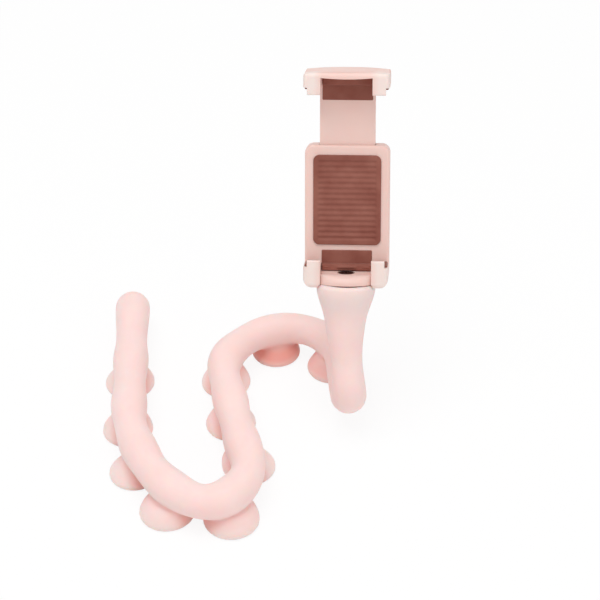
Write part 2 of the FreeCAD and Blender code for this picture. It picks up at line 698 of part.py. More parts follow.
def main():
    nodes = {
        "worm_body": worm_body(),
        "bend_core": bend_core(),
        "neck_plug": neck_plug(),
        "pivot_screw": pivot_screw(),
        "pivot_washer": pivot_washer(),
        "lower_jaw": lower_jaw(),
        "lower_jaw_pads": jaw_pads(LOWER_SEAT, LOWER_SHELF),
        "back_pad": back_pad(),
        "rear_cover": rear_cover(),
        "cover_screws": cover_screws(),
        "upper_jaw": upper_jaw(),
        "upper_jaw_pads": jaw_pads(UPPER_SEAT, UPPER_SHELF),
        "clamp_spring": clamp_spring(),
    }
    box = FreeCAD.BoundBox()
    for shape in nodes.values():
        box.add(shape.optimalBoundingBox(False))
    shift = V(-box.Center.x, -box.Center.y, -box.ZMin)
    os.makedirs("parts", exist_ok=True)
    for name, shape in nodes.items():
        shape.translate(shift)
        shape.exportStep("parts/" + name + ".step")
        print(name, "valid", shape.isValid(), "solids", len(shape.Solids), "volume", round(shape.Volume, 1))
    print("rim centre", RIM_CENTRE + shift, "neck axis", NECK_AXIS)
    print("shift", shift, "overall", box.XLength, box.YLength, box.ZLength)
    middle_cup = cup_foot(*CUP_PLACES[5]) + V(CUP_RADIUS - (CUP_RIM_FLAT + CUP_EDGE_ROUND) / 2, 0, 0)
    print("cup rim", middle_cup + shift)


main()
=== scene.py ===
# %% [markdown]
# # A bendable holder on suction cups
# The real holder is one long silicone body with a bendable wire inside. It lies on the table in an S,
# stands on soft suction cups, and turns up into a flared neck that carries a sprung clamp.
# The imported CAD model is the fixed frame: it says where every piece is and how it moves. This file only
# gives the pieces their looks, so it loads that frame first.

# %% The imported model
import json
import math

import bmesh
import bpy
import numpy as np
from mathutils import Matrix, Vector


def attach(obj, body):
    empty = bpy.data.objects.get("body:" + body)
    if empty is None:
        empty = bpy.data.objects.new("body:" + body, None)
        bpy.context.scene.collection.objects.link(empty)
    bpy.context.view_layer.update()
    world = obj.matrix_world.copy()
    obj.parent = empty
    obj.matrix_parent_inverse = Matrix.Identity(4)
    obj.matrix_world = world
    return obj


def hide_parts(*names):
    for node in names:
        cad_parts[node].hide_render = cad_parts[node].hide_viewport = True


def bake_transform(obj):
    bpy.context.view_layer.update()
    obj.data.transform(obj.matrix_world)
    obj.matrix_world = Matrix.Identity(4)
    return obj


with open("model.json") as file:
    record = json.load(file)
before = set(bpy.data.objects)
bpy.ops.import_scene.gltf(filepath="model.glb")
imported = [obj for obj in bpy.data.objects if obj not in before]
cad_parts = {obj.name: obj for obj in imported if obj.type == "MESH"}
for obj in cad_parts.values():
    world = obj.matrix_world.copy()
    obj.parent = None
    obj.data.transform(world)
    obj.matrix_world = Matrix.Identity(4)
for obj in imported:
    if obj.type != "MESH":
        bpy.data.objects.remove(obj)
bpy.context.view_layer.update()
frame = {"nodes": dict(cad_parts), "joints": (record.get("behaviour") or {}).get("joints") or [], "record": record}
MM = 0.001
print("nodes:", ", ".join(sorted(frame["nodes"])))

# %% [markdown]
# ## The frames that the pieces are drawn in
# The body lies in the table's frame. The clamp leans back with the neck and is turned a little on its
# swivel, so its pieces are drawn in a frame of their own: across the jaws, towards the back, and up along
# the neck. All three directions come from the model's joint and from the face of its back rest.

# %% The clamp's own frame
swivel = next(joint for joint in frame["joints"] if joint["name"] == "swivel")
back_rest = next(mount for mount in frame["record"]["mounts"] if mount["name"] == "phone_back_rest")
rim_centre = np.array(swivel["pos_m"])
neck_axis = np.array(swivel["axis"])
clamp_back = -np.array(back_rest["axis"])
clamp_across = np.cross(clamp_back, neck_axis)


def on_clamp(x, y, z):
    """A point of the clamp, given in millimetres across, backwards and up the neck from the rim's centre."""
    x, y, z = (np.asarray(value, float)[..., None] * MM for value in (x, y, z))
    return rim_centre + x * clamp_across + y * clamp_back + z * neck_axis


print("rim centre (mm):", np.round(rim_centre / MM, 2), "neck axis:", np.round(neck_axis, 3))

# %% [markdown]
# ## Camera
# The photograph looks down on the table from the front with a long lens. The lens and height were found
# by laying the model's outline over the picture until the S, the cups and the jaws fell on their places.
# The body's route has the same origin as that fit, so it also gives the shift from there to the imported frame.

# %% The photograph's camera
CAMERA_LENS = 120.9
CAMERA_DISTANCE = 1.0
CAMERA_ELEVATION = 38.5
AIM_HEIGHT = 0.040
NECK_LENGTH = 67.0
AXIS_HEIGHT = 14.9
ROUTE = [
    (-85.8, 24.6), (-82.1, -68.5), (-65.6, -103.9), (-40.5, -122.6), (-21.5, -100.2), (-30.0, -67.1),
    (-39.7, -15.6), (-22.6, 5.2), (1.4, 10.4), (19.7, -4.9), (21.8, -59.7),
]
route = np.column_stack([np.array(ROUTE), np.full(len(ROUTE), AXIS_HEIGHT)]) * MM
shift = rim_centre - neck_axis * NECK_LENGTH * MM - route[-1]
route += shift

camera_data = bpy.data.cameras.new("camera")
camera_data.lens = CAMERA_LENS
camera = bpy.data.objects.new("camera", camera_data)
bpy.context.scene.collection.objects.link(camera)
lean = math.radians(CAMERA_ELEVATION)
back_off, rise = CAMERA_DISTANCE * math.cos(lean), CAMERA_DISTANCE * math.sin(lean)
camera.location = (shift[0], shift[1] - back_off, AIM_HEIGHT + rise)
camera.rotation_euler = (math.pi / 2 - lean, 0, 0)
bpy.context.scene.camera = camera
print("camera at", [round(v, 4) for v in camera.location])

# %% [markdown]
# ## Nodes in a few words
# Every material below is a small graph of shader nodes. Four helpers keep the graphs short: they add a node and
# set its inputs, start a material with its Principled shader, start a node group, and put one into a material.

# %% Shader helpers


def add(tree, kind, links=None, **settings):
    """Adds a node, sets its properties, and fills its inputs from values or from other nodes' outputs."""
    node = tree.nodes.new(kind)
    for name, value in settings.items():
        setattr(node, name, value)
    for name, value in (links or {}).items():
        if isinstance(value, bpy.types.NodeSocket):
            tree.links.new(value, node.inputs[name])
        else:
            node.inputs[name].default_value = value
    return node


def new_material(name, **inputs):
    """A material with a Principled shader whose uniform values are set on its own sockets."""
    material = bpy.data.materials.new(name)
    material.use_nodes = True
    shader = material.node_tree.nodes["Principled BSDF"]
    for socket, value in inputs.items():
        shader.inputs[socket.replace("_", " ")].default_value = value
    return material, material.node_tree, shader


def new_group(name, inputs, outputs):
    """An empty shader node group with named float inputs (name: default) and outputs (name: socket kind)."""
    group = bpy.data.node_groups.new(name, "ShaderNodeTree")
    for label, default in inputs.items():
        socket = group.interface.new_socket(label, in_out="INPUT", socket_type="NodeSocketFloat")
        socket.default_value = default
    for label, kind in outputs.items():
        group.interface.new_socket(label, in_out="OUTPUT", socket_type=kind)
    return group, group.nodes.new("NodeGroupInput"), group.nodes.new("NodeGroupOutput")


def place(tree, group, **inputs):
    """Puts a node group into a material with its own values."""
    node = tree.nodes.new("ShaderNodeGroup")
    node.node_tree = group
    for name, value in inputs.items():
        node.inputs[name.replace("_", " ")].default_value = value
    return node


print("shader helpers ready")

# %% [markdown]
# ## Floor
# The photograph is a studio picture on white with hardly any shadow. A plain white floor would turn grey
# there, so this one is a wide white sheet that glows for the camera and still takes a little of the shading.
# The object keeps a faint shadow, and the light that the sheet throws back up at it stays the real one.

# %% White floor
FLOOR_SIZE = 6.0
FLOOR_WHITE = (0.95, 0.95, 0.95, 1)
FLOOR_SHADING = 0.12
bpy.context.scene.view_settings.view_transform = "Standard"

floor_mesh = bpy.data.meshes.new("floor")
half = FLOOR_SIZE / 2
floor_corners = [(-half, -half, 0), (half, -half, 0), (half, half, 0), (-half, half, 0)]
floor_mesh.from_pydata(floor_corners, [], [(0, 1, 2, 3)])
floor = bpy.data.objects.new("floor", floor_mesh)
bpy.context.scene.collection.objects.link(floor)

floor_material = bpy.data.materials.new("studio_white")
floor_material.use_nodes = True
tree = floor_material.node_tree
tree.nodes.clear()
sheet = add(tree, "ShaderNodeBsdfDiffuse", {"Color": FLOOR_WHITE})
glow = add(tree, "ShaderNodeEmission", {"Color": (1, 1, 1, 1), "Strength": 1.0})
for_camera = add(tree, "ShaderNodeMixShader", {0: FLOOR_SHADING, 1: glow.outputs[0], 2: sheet.outputs[0]})
ray = add(tree, "ShaderNodeLightPath")
rays = {0: ray.outputs["Is Camera Ray"], 1: ray.outputs["Is Glossy Ray"]}
seen = add(tree, "ShaderNodeMath", rays, operation="MAXIMUM")
chosen = add(tree, "ShaderNodeMixShader", {0: seen.outputs[0], 1: sheet.outputs[0], 2: for_camera.outputs[0]})
add(tree, "ShaderNodeOutputMaterial", {"Surface": chosen.outputs[0]})
floor_mesh.materials.append(floor_material)
print("floor", FLOOR_SIZE, "m square")

# %% [markdown]
# ## Light
# The body is nearly as bright at its sides as on top, so most of the light comes from all round: a pale sky.
# Faces that look up are still the brightest, and those that look at the camera are a step darker. One wide
# lamp overhead and a weak one from the right make that step, and both are large, so no edge of a shadow shows.

# %% Sky and lamps
SKY_STRENGTH = 0.63
SKY_COLOUR = (1.0, 0.99, 0.985, 1)
world = bpy.data.worlds.new("studio")
bpy.context.scene.world = world
world.use_nodes = True
tree = world.node_tree
tree.nodes.clear()
fill = add(tree, "ShaderNodeBackground", {"Color": SKY_COLOUR, "Strength": SKY_STRENGTH})
white = add(tree, "ShaderNodeBackground", {"Color": (1, 1, 1, 1), "Strength": 1.0})
ray = add(tree, "ShaderNodeLightPath")
sky = add(tree, "ShaderNodeMixShader", {0: ray.outputs["Is Camera Ray"], 1: fill.outputs[0], 2: white.outputs[0]})
add(tree, "ShaderNodeOutputWorld", {"Surface": sky.outputs[0]})


def soft_lamp(name, place_m, aim_m, size, power):
    """A square area lamp at a place, turned towards the point that it lights."""
    data = bpy.data.lights.new(name, "AREA")
    data.size = size
    data.energy = power
    lamp = bpy.data.objects.new(name, data)
    bpy.context.scene.collection.objects.link(lamp)
    lamp.location = place_m
    direction = Vector(aim_m) - lamp.location
    lamp.rotation_euler = direction.to_track_quat("-Z", "Y").to_euler()


soft_lamp("overhead", place_m=(-0.20, -0.13, 1.5), aim_m=(0, 0, 0.05), size=1.0, power=10.2)
soft_lamp("side", place_m=(0.75, -0.85, 0.7), aim_m=(0, 0, 0.06), size=0.7, power=1.7)

# %% [markdown]
# ## Surfaces from grids
# Each new piece is a grid of points worked out with numpy: rows along one parameter, columns along the
# other. This helper turns one or more such grids into a mesh, joins the columns into rings where asked,
# and merges the points that fall together at poles and shared borders, so the piece is closed.

# %% Grid to mesh
SAME_POINT = 1e-6


def surface(name, grids, rings=True):
    """A mesh piece from grids of points: a quad between each four neighbours, and for rings also between the
    last column and the first. Points that coincide are merged, a corner that only two quads share is taken out,
    so that no two triangles can lie on each other there, and the faces are turned outwards."""
    corners, quads, start = [], [], 0
    for grid in grids:
        rows, columns = grid.shape[:2]
        number = start + np.arange(rows * columns).reshape(rows, columns)
        number = np.hstack([number, number[:, :1]]) if rings else number
        four = [number[:-1, :-1], number[:-1, 1:], number[1:, 1:], number[1:, :-1]]
        quads.append(np.stack(four, -1).reshape(-1, 4))
        corners.append(grid.reshape(-1, 3))
        start += rows * columns
    mesh = bpy.data.meshes.new(name)
    mesh.from_pydata(np.vstack(corners), [], np.vstack(quads))
    work = bmesh.new()
    work.from_mesh(mesh)
    bmesh.ops.remove_doubles(work, verts=work.verts, dist=SAME_POINT)
    bmesh.ops.dissolve_verts(work, verts=[vert for vert in work.verts if len(vert.link_edges) == 2])
    bmesh.ops.recalc_face_normals(work, faces=work.faces)
    if work.calc_volume(signed=True) < 0:
        bmesh.ops.reverse_faces(work, faces=work.faces)
    work.to_mesh(mesh)
    work.free()
    mesh.shade_smooth()
    piece = bpy.data.objects.new(name, mesh)
    bpy.context.scene.collection.objects.link(piece)
    return piece


print("grid helper ready")

# %% [markdown]
# ## The body's centre line
# The real body is bent by hand, so it runs in gentle curves between the places where it was held. The
# route's corner points are the model's own. Each corner is rounded by an arc that touches both runs, and the
# whole line is then averaged over a few millimetres, because a rubber tube never changes its bend at once.
# Under its load the elbow turns a little higher up and aside of the model's corner, which a straight neck would miss.

# %% Centre line and its directions
BEND_SHARE = 0.45
BEND_POINTS = 48
STEP = 0.5 * MM
LINE_BLUR = 3.0 * MM
TAIL_RADIUS = 8.8
ELBOW_ASIDE = 2.7
ELBOW_LIFT = 2.2
STRAIGHT_NECK = 27.0
NECK_ASIDE = -0.4
STEEP = 0.15


def blurred(values, width, step=STEP):
    """A moving average along the first axis, weighted by a bell curve, with both ends carried on straight."""
    reach = int(3 * width / step)
    weights = np.exp(-0.5 * (np.arange(-reach, reach + 1) * step / width) ** 2)
    weights /= weights.sum()
    ahead = 2 * values[-1:] - values[-2:-reach - 2:-1]
    behind = 2 * values[:1] - values[reach:0:-1]
    padded = np.concatenate([behind, values, ahead])
    columns = padded.reshape(len(padded), -1).T
    smooth = [np.convolve(column, weights, mode="valid") for column in columns]
    return np.array(smooth).T.reshape(values.shape)


def evenly(points, step):
    """Points at equal steps along a polyline."""
    gone = np.concatenate([[0], np.cumsum(np.linalg.norm(np.diff(points, axis=0), axis=1))])
    at = np.linspace(0, gone[-1], int(round(gone[-1] / step)) + 1)
    return np.column_stack([np.interp(at, gone, column) for column in points.T]), at


def rounded_line(corners, share):
    """Runs between the corners, each corner rounded by an arc that touches both of its runs at a share of the
    shorter one. The arc's centre lies on the bisector, and its points turn from one contact to the other."""
    line = [corners[:1]]
    for before, corner, after in zip(corners, corners[1:], corners[2:]):
        runs = np.array([before - corner, after - corner])
        lengths = np.linalg.norm(runs, axis=1)
        back, on = runs / lengths[:, None]
        reach = share * lengths.min()
        half_angle = np.arccos(np.clip(back @ on, -1, 1)) / 2
        radius = reach * np.tan(half_angle)
        centre = corner + (back + on) / np.linalg.norm(back + on) * reach / np.cos(half_angle)
        turn = np.linspace(0, np.pi - 2 * half_angle, BEND_POINTS)[:, None]
        first = (corner + back * reach - centre) / radius
        line.append(centre + radius * (np.cos(turn) * first - np.sin(turn) * back))
    return np.vstack(line + [corners[-1:]])


elbow_corner = route[-1] + neck_axis * ELBOW_LIFT * MM + np.array([ELBOW_ASIDE, 0, 0]) * MM
neck_foot = rim_centre - neck_axis * STRAIGHT_NECK * MM + np.array([NECK_ASIDE, 0, 0]) * MM
bends = rounded_line(np.vstack([route[:-1], elbow_corner, neck_foot, rim_centre]), BEND_SHARE)
backwards = (route[0] - route[1]) / np.linalg.norm(route[0] - route[1])
sharp_line, _ = evenly(np.vstack([route[0] + backwards * TAIL_RADIUS * MM, bends]), STEP)
centre_line, along = evenly(blurred(sharp_line, LINE_BLUR), STEP)
along -= TAIL_RADIUS * MM
heading = np.gradient(centre_line, STEP, axis=0)
heading /= np.linalg.norm(heading, axis=1)[:, None]
up = np.array([0.0, 0.0, 1.0])
side = np.cross(heading, up)
elbow = np.argmax((np.abs(heading[:, 2]) > STEEP) & (along > along[-1] / 2))
side[elbow:] = side[elbow]
side -= heading * (side * heading).sum(1)[:, None]
side /= np.linalg.norm(side, axis=1)[:, None]
crown = np.cross(side, heading)
print("body length (mm):", round(along[-1] / MM, 1), "elbow starts at", round(along[elbow] / MM, 1))

# %% [markdown]
# ## The silicone tube
# On the real holder the tube swells a little over each cup and draws in between them, like a caterpillar.
# It ends in a blunt round tail, and its neck narrows to a waist and opens into the flare under the clamp.
# A pipe of one thickness would lose all that, so the radius is worked out first, as a value along the line.

# %% Radius along the tube
CUPS = [
    (41.5, 0.6), (75.0, 0.6), (106.5, 2.9), (138.0, 3.1), (169.5, 1.4),
    (206.5, 2.2), (238.5, -0.1), (271.0, -0.3), (305.0, 0.6), (338.5, 1.6),
]
OVER_CUPS = [8.9, 8.9, 8.9, 8.9, 9.0, 9.0, 8.8, 8.6, 8.3, 8.2]
BETWEEN_CUPS = [7.8, 7.8, 8.1, 8.1, 8.0, 7.8, 7.7, 7.6, 7.5]
FIRST_WAIST = (26.0, 7.8)
RADIUS_BLUR = 1.6
NECK_PROFILE = [
    (0.0, 14.0), (3.6, 14.1), (5.6, 13.6), (8.7, 12.7), (12.0, 11.5), (15.3, 10.5), (18.6, 9.8), (23.0, 9.2),
    (28.6, 8.4), (34.0, 7.75), (39.7, 7.4), (46.0, 7.7), (52.0, 8.2), (58.0, 8.6), (66.0, 8.6),
]


def eased(at, places, values):
    """Values between stations: half a cosine wave leads from each station to the next, so both are level."""
    k = np.clip(np.searchsorted(places, at) - 1, 0, len(places) - 2)
    share = np.clip((at - places[k]) / (places[k + 1] - places[k]), 0, 1)
    return values[k] + (values[k + 1] - values[k]) * (1 - np.cos(np.pi * share)) / 2


cup_along, cup_aside = np.array(CUPS).T
places, radii = np.empty(2 * len(CUPS) - 1), np.empty(2 * len(CUPS) - 1)
places[::2], radii[::2] = cup_along, OVER_CUPS
places[1::2], radii[1::2] = (cup_along[1:] + cup_along[:-1]) / 2, BETWEEN_CUPS
neck_drop, neck_radius = np.array(NECK_PROFILE).T
below_rim = (along[-1] - along) / MM
neck_start = along[-1] / MM - neck_drop[-1]
places = np.concatenate([[0, FIRST_WAIST[0]], places, [neck_start]])
radii = np.concatenate([[TAIL_RADIUS, FIRST_WAIST[1]], radii, [neck_radius[-1]]])
neck = np.interp(below_rim, neck_drop, neck_radius)
radius = np.where(below_rim < neck_drop[-1], neck, eased(along / MM, places, radii))
radius = blurred(radius, RADIUS_BLUR * MM) * MM
radius *= np.sqrt(1 - np.clip(-along / (TAIL_RADIUS * MM), 0, 1) ** 2)
print("radius (mm): narrowest", round(radius[along > 0].min() / MM, 2), "widest", round(radius.max() / MM, 2))

# %% [markdown]
# One ring of points is carried along the centre line, with that radius. At the flare the skin turns over a small
# round rim and goes down into the bore that holds the plug, so a look into the gap under the clamp finds a wall.

# %% Tube surface
AROUND = 72
RIM_ROUND = 0.9
RIM_INNER = 11.0
BORE_RADIUS = 10.15
BORE_DEPTH = 9.0


def ring(centres, radii, first, second, columns=AROUND):
    """Rings of points: each centre plus its radius times (cos a, sin a) along two directions across the path."""
    turn = np.linspace(0, 2 * np.pi, columns, endpoint=False)[None, :, None]
    spoke = np.cos(turn) * first[:, None] + np.sin(turn) * second[:, None]
    return centres[:, None] + radii[:, None, None] * spoke


bend = np.linspace(0, np.pi / 2, 7)
rim_radius = radius[-1] / MM
bore_drop = [0, 0, BORE_DEPTH / 2, BORE_DEPTH, BORE_DEPTH]
bore_radius = [RIM_INNER, BORE_RADIUS, BORE_RADIUS, BORE_RADIUS, 0]
lip_drop = np.concatenate([RIM_ROUND * (1 - np.sin(bend)), bore_drop])
lip_radius = np.concatenate([rim_radius - RIM_ROUND * (1 - np.cos(bend)), bore_radius])
last = np.full(len(lip_drop), -1)
lip = ring(rim_centre - neck_axis * lip_drop[:, None] * MM, lip_radius * MM, side[last], crown[last])
shaft = below_rim > RIM_ROUND
tube = ring(centre_line[shaft], radius[shaft], side[shaft], crown[shaft])
tube_grid = np.concatenate([tube, lip])
print("tube grid:", tube_grid.shape)

# %% [markdown]
# ## The suction cups
# Each cup is a soft dome under the tube with a thick round edge, and a hollow below that is pressed flat to
# hold the table. A dome is a profile turned about an upright axis. Where the tube was twisted in bending, its
# cup stands a little to one side, and a stuck foot is dragged a millimetre or more and spread under its load. So
# the turning axis leans from the cup's foot to the tube's middle, and the profile widens towards the foot.

# %% Cup surfaces
CUP_RADIUS = 12.4
CUP_NECK_RADIUS = 6.6
CUP_NECK_HEIGHT = 9.6
CUP_EDGE_HEIGHT = 2.4
CUP_EDGE_WIDTH = 0.8 * CUP_EDGE_HEIGHT
CUP_BULGE = 0.4
BULGE_PER_SPREAD = 1.5
CUP_HOLLOW = 3.4
CUP_RING = 1.6
FOOT_SETTLING = [
    (-0.4, -1.2, 0.0), (-0.5, -2.7, 0.0), (0.0, -1.1, 0.0), (-0.2, 0.4, 1.0), (-0.4, -1.4, 1.0),
    (1.0, -1.7, 0.5), (0.2, -2.2, 0.0), (-0.3, -3.3, 0.0), (0.1, -0.3, 0.0), (0.7, -1.3, 0.0),
]


def cup_profile(bulge):
    """(radius, height) from inside the tube down the dome, round the edge and up into the hollow. The dome is a
    straight slope pushed out by a half sine, the edge a half ellipse, and the hollow a parabola."""
    t = np.linspace(0, 1, 16)
    out, drop = CUP_RADIUS - CUP_NECK_RADIUS, CUP_NECK_HEIGHT - CUP_EDGE_HEIGHT
    push = bulge * np.sin(np.pi * t) / math.hypot(out, drop)
    dome = np.column_stack([CUP_NECK_RADIUS + out * t + drop * push, CUP_NECK_HEIGHT - drop * t + out * push])
    a = np.linspace(0, np.pi / 2, 8)[1:]
    edge = np.column_stack([CUP_RADIUS - CUP_EDGE_WIDTH * (1 - np.cos(a)), CUP_EDGE_HEIGHT * (1 - np.sin(a))])
    mouth = CUP_RADIUS - CUP_EDGE_WIDTH - CUP_RING
    inward = np.linspace(mouth, 0, 14)
    hollow = np.column_stack([inward, CUP_HOLLOW * (1 - (inward / mouth) ** 2)])
    return np.vstack([[(0, AXIS_HEIGHT)], [(CUP_NECK_RADIUS, AXIS_HEIGHT)], dome, edge, hollow])


def cup_grid(distance, aside, settling):
    """The cup's profile turned about an axis that leans, on a smooth step, from its foot to the tube's middle. On
    the same step it widens, down to the foot, by the spread that settling gives after the drag along x and y."""
    at = np.searchsorted(along, distance * MM)
    drag_x, drag_y, spread = settling
    r, z = cup_profile(CUP_BULGE + BULGE_PER_SPREAD * spread).T * MM
    t = np.clip(z / (CUP_NECK_HEIGHT * MM), 0, 1)
    lean_in = (t * t * (3 - 2 * t))[:, None]
    r = r * (1 + spread / CUP_RADIUS * (1 - lean_in[:, 0]))
    across = side[at] * aside * MM + np.array([drag_x, drag_y, 0]) * MM
    heights = np.column_stack([np.zeros((len(z), 2)), z])
    centres = heights + centre_line[at] * (1, 1, 0) + across * (1 - lean_in)
    return ring(centres, r, np.tile((1.0, 0, 0), (len(z), 1)), np.tile((0, 1.0, 0), (len(z), 1)))


cup_grids = [cup_grid(*place_and_settling) for place_and_settling in zip(cup_along, cup_aside, FOOT_SETTLING)]
print("cups:", len(cup_grids), "each", cup_grids[0].shape)

# %% [markdown]
# ## One skin
# Tube and cups come out of one mould, so no edge shows where they meet. The closed surfaces are remeshed
# together on fine voxels, which leaves only their outside, and smoothed until the joins are soft creases.

# %% Remeshed skin
VOXEL = 0.72 * MM
SOFTENING = 8


def settled(piece):
    """Replaces a piece's mesh by the result of its modifiers."""
    evaluated = piece.evaluated_get(bpy.context.evaluated_depsgraph_get())
    mesh = bpy.data.meshes.new_from_object(evaluated)
    piece.modifiers.clear()
    piece.data = mesh
    return mesh


worm_skin = surface("worm_skin", [tube_grid] + cup_grids)
remesh = worm_skin.modifiers.new("one_skin", "REMESH")
remesh.mode = "VOXEL"
remesh.voxel_size = VOXEL
smooth = worm_skin.modifiers.new("soft_joins", "SMOOTH")
smooth.factor = 0.5
smooth.iterations = SOFTENING
skin_mesh = settled(worm_skin)
skin_mesh.shade_smooth()
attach(worm_skin, "stand")
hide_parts("worm_body")
print("skin:", len(skin_mesh.vertices), "points,", sum(len(p.vertices) - 2 for p in skin_mesh.polygons), "triangles")

# %% [markdown]
# In the folds round the cups light passes through the silicone more than once and comes out redder, and that shade is
# painted into the colour. A shader cannot ask how the surface runs around a point, so the depth of the fold is worked
# out here and kept on each point.

# %% Creases
CREASE_SPREAD = 12
DEEPEST_PERCENT = 99.5


def fetched(items, name, width, kind=float):
    """A property of the items of a mesh, one row for each."""
    values = np.empty(len(items) * width, dtype=kind)
    items.foreach_get(name, values)
    return values.reshape(-1, width)


def creases(mesh, rounds):
    """For each point, how far the mean of its neighbours lies out along the normal: above 0 in a fold, below 0 on
    a bulge. The values are then averaged over the neighbours some rounds, and scaled to the range 0 to 1."""
    points, normals = fetched(mesh.vertices, "co", 3), fetched(mesh.vertices, "normal", 3)
    edges = fetched(mesh.edges, "vertices", 2, np.int64)
    count = np.bincount(edges.ravel(), minlength=len(points))

    def neighbours(values):
        both = np.concatenate([edges, edges[:, ::-1]])
        return np.bincount(both[:, 0], weights=values[both[:, 1]], minlength=len(points)) / np.maximum(count, 1)

    mean = np.column_stack([neighbours(column) for column in points.T])
    fold = ((mean - points) * normals).sum(1)
    for _ in range(rounds):
        fold = neighbours(fold)
    return np.clip(fold / np.percentile(fold, DEEPEST_PERCENT), 0, 1)


folds = creases(skin_mesh, CREASE_SPREAD)
# The fold depth sets how much painted shade the silicone's colour takes in the creases.
crease_shade = skin_mesh.attributes.new("crease_shade", "FLOAT", "POINT")
crease_shade.data.foreach_set("value", folds.astype(np.float32))
print("points in a fold:", int((folds > 0.5).sum()))

# %% [markdown]
# Light from above hardly reaches the cups under the tube, and least of all those inside a bend, where two runs of
# the body stand close. That shade is painted into the colour: a distance from the centre line finds the first, and a
# weight for each cup adds the second.

# %% Shelter
LYING_BELOW = 1.1 * AXIS_HEIGHT
UNDER_REACH, UNDER_FADE = 10.0, 5.0
SHELTER_TOP, SHELTER_FADE = 0.85 * AXIS_HEIGHT, 6.0
FOOT_MARGIN, FOOT_FADE = 1.5, 3.0
# Painted shade for each cup, most of all on the cups inside the far bend.
CUP_PAINTED_SHADE = [0.0, 0.0, 0.0, 0.1, 0.2, 0.0, 0.0, 0.0, 1.5, 0.7]


def shelter_shade_mask(mesh, blocks=12):
    """For each point, how much painted shade it takes for being sheltered: near the lying centre line seen from above,
    or on a cup inside a bend, and well below that line. The distances are worked out for a block of points at a time."""
    points = fetched(mesh.vertices, "co", 3) / MM
    lying = centre_line[centre_line[:, 2] < LYING_BELOW * MM][::4, :2] / MM
    off = [np.hypot(*(block[:, None, :2] - lying).T).min(0) for block in np.array_split(points, blocks)]
    under = np.clip((UNDER_REACH - np.concatenate(off)) / UNDER_FADE, 0, 1)
    low = np.clip((SHELTER_TOP - points[:, 2]) / SHELTER_FADE, 0, 1)
    feet = np.array([grid[-1, 0, :2] for grid in cup_grids]) / MM
    off_cup = np.hypot(*(points[:, None, :2] - feet).T)
    on_cup = np.clip((CUP_RADIUS + FOOT_MARGIN - off_cup) / FOOT_FADE, 0, 1) * np.array(CUP_PAINTED_SHADE)[:, None]
    return np.maximum(under, on_cup.max(0)) * low


shelter_shade_values = shelter_shade_mask(skin_mesh)
shelter_shade = skin_mesh.attributes.new("shelter_shade", "FLOAT", "POINT")
shelter_shade.data.foreach_set("value", shelter_shade_values.astype(np.float32))
print("sheltered points:", int((shelter_shade_values > 0.5).sum()))

# %% [markdown]
# ## Shared surface effects
# Two effects serve several materials, so each is a node group: a fine moulded grain, which makes a bump
# height from two sizes of noise, and a slow mottling, which drifts between 0 and 1 over a length set by the material.

# %% Moulded grain and mottling


def moulded_grain():
    """Height from two noises: a fine one at the group's scale and a coarser one at a quarter of it."""
    inputs = {"Scale": 3000.0, "Coarse Share": 0.3}
    group, given, out = new_group("moulded_grain", inputs, {"Height": "NodeSocketFloat"})
    where = add(group, "ShaderNodeTexCoord").outputs["Object"]
    fine = add(group, "ShaderNodeTexNoise", {"Vector": where, "Scale": given.outputs["Scale"], "Detail": 2.0})
    quarter = add(group, "ShaderNodeMath", {0: given.outputs["Scale"], 1: 0.25}, operation="MULTIPLY")
    coarse = add(group, "ShaderNodeTexNoise", {"Vector": where, "Scale": quarter.outputs[0], "Detail": 1.0})
    sizes = {"Factor": given.outputs["Coarse Share"], "A": fine.outputs[0], "B": coarse.outputs[0]}
    both = add(group, "ShaderNodeMix", sizes)
    group.links.new(both.outputs["Result"], out.inputs["Height"])
    return group


def slow_mottling():
    """A soft noise, stretched so that it fills the range from 0 to 1."""
    group, given, out = new_group("slow_mottling", {"Scale": 40.0}, {"Mask": "NodeSocketFloat"})
    where = add(group, "ShaderNodeTexCoord").outputs["Object"]
    cloud = add(group, "ShaderNodeTexNoise", {"Vector": where, "Scale": given.outputs["Scale"], "Detail": 3.0})
    full = add(group, "ShaderNodeMapRange", {"Value": cloud.outputs[0], "From Min": 0.3, "From Max": 0.7})
    group.links.new(full.outputs["Result"], out.inputs["Mask"])
    return group


GRAIN = moulded_grain()
MOTTLING = slow_mottling()
print("groups:", GRAIN.name, MOTTLING.name)

# %% [markdown]
# Rubber, plug and metals are alike in how they are made up: two near colours and a band of roughness, both driven
# by the mottling, and the grain as a bump. One helper builds them, and silicone and plastic use its pieces.

# %% Mottled materials


def tinted(tree, mask, first, second):
    """A colour that goes from the first to the second as the mask goes from 0 to 1."""
    mix = add(tree, "ShaderNodeMix", {"Factor": mask}, data_type="RGBA")
    for socket, colour in (("A_Color", first), ("B_Color", second)):
        target = next(s for s in mix.inputs if s.identifier == socket)
        if isinstance(colour, bpy.types.NodeSocket):
            tree.links.new(colour, target)
        else:
            target.default_value = (*colour, 1)
    return next(s for s in mix.outputs if s.identifier == "Result_Color")


def grained(tree, shader, scale, strength, depth_mm):
    """Feeds the moulded grain to the shader's normal as a bump of some depth."""
    height = place(tree, GRAIN, Scale=scale).outputs["Height"]
    bump = add(tree, "ShaderNodeBump", {"Height": height, "Strength": strength, "Distance": depth_mm * MM})
    tree.links.new(bump.outputs[0], shader.inputs["Normal"])


def varied(tree, shader, mask, low, high):
    """Lets the roughness wander between two values with a mask."""
    spread = add(tree, "ShaderNodeMapRange", {"Value": mask, "To Min": low, "To Max": high})
    tree.links.new(spread.outputs["Result"], shader.inputs["Roughness"])


def mottled(name, spots, colours, rough, grain, **uniform):
    """A material whose colour and roughness drift with the mottling. Its bump is the grain, given by scale, strength
    and depth in millimetres."""
    material, tree, shader = new_material(name, **uniform)
    mask = place(tree, MOTTLING, Scale=spots).outputs["Mask"]
    tree.links.new(tinted(tree, mask, *colours), shader.inputs["Base Color"])
    varied(tree, shader, mask, *rough)
    grained(tree, shader, *grain)
    return material


print("material helpers ready")
